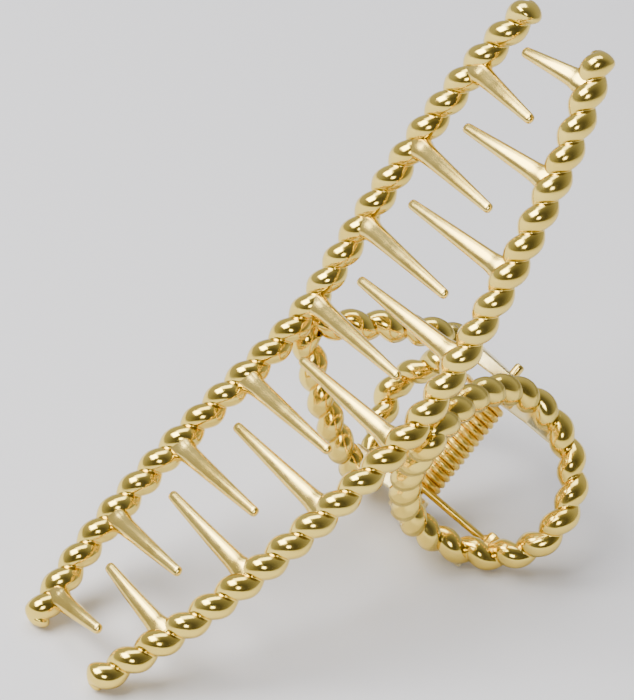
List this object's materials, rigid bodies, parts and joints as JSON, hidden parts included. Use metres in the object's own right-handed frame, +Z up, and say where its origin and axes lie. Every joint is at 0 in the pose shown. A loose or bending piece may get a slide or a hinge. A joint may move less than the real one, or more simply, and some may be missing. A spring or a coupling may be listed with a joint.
{
  "type": "claw hair clip",
  "caption": "Gold metal claw hair clip: two rope-patterned jaws with tapered interlocking teeth, rope finger loops, a hinge pin and a torsion spring.",
  "frame": {"origin": "centre of the bounding box in plan, on the table the clip rests on", "axes": "+Z up from the table; the hinge pin lies in the XZ plane, climbing about 47 degrees from -X to +X; the front jaw is on the -Y side"},
  "size_m": [0.0732, 0.0386, 0.0737],
  "materials": {
    "front_rope_bar": "polished gold plating",
    "front_finger_loop": "polished gold plating",
    "front_tooth_1": "polished gold plating",
    "front_tooth_2": "polished gold plating",
    "front_tooth_3": "polished gold plating",
    "front_tooth_4": "polished gold plating",
    "front_tooth_5": "polished gold plating",
    "front_tooth_6": "polished gold plating",
    "front_tooth_7": "polished gold plating",
    "front_tooth_8": "polished gold plating",
    "front_inner_ear": "polished gold plating",
    "front_outer_ear": "polished gold plating",
    "front_spring_tab": "polished gold plating",
    "front_spring_leg": "plated spring wire",
    "hinge_pin": "polished gold plating",
    "spring_coil": "plated spring wire",
    "back_rope_bar": "polished gold plating",
    "back_finger_loop": "polished gold plating",
    "back_tooth_1": "polished gold plating",
    "back_tooth_2": "polished gold plating",
    "back_tooth_3": "polished gold plating",
    "back_tooth_4": "polished gold plating",
    "back_tooth_5": "polished gold plating",
    "back_tooth_6": "polished gold plating",
    "back_tooth_7": "polished gold plating",
    "back_tooth_8": "polished gold plating",
    "back_inner_ear": "polished gold plating",
    "back_outer_ear": "polished gold plating",
    "back_spring_tab": "polished gold plating",
    "back_spring_leg": "plated spring wire"
  },
  "bodies": {
    "front_jaw": {"front_rope_bar": "front_rope_bar", "front_finger_loop": "front_finger_loop", "front_tooth_1": "front_tooth_1", "front_tooth_2": "front_tooth_2", "front_tooth_3": "front_tooth_3", "front_tooth_4": "front_tooth_4", "front_tooth_5": "front_tooth_5", "front_tooth_6": "front_tooth_6", "front_tooth_7": "front_tooth_7", "front_tooth_8": "front_tooth_8", "front_inner_ear": "front_inner_ear", "front_outer_ear": "front_outer_ear", "front_spring_tab": "front_spring_tab", "front_spring_leg": "front_spring_leg", "hinge_pin": "hinge_pin", "spring_coil": "spring_coil"},
    "back_jaw": {"back_rope_bar": "back_rope_bar", "back_finger_loop": "back_finger_loop", "back_tooth_1": "back_tooth_1", "back_tooth_2": "back_tooth_2", "back_tooth_3": "back_tooth_3", "back_tooth_4": "back_tooth_4", "back_tooth_5": "back_tooth_5", "back_tooth_6": "back_tooth_6", "back_tooth_7": "back_tooth_7", "back_tooth_8": "back_tooth_8", "back_inner_ear": "back_inner_ear", "back_outer_ear": "back_outer_ear", "back_spring_tab": "back_spring_tab", "back_spring_leg": "back_spring_leg"}
  },
  "joints": [
    {"name": "jaw_hinge", "type": "hinge", "parent": "front_jaw", "child": "back_jaw", "pos_m": [0.02581, 0, 0.01093], "axis": [-0.6882, 0, -0.7255], "range_deg": [0, 70], "stiffness_Nm_per_rad": 0.039, "springref_deg": -45.84}
  ]
}
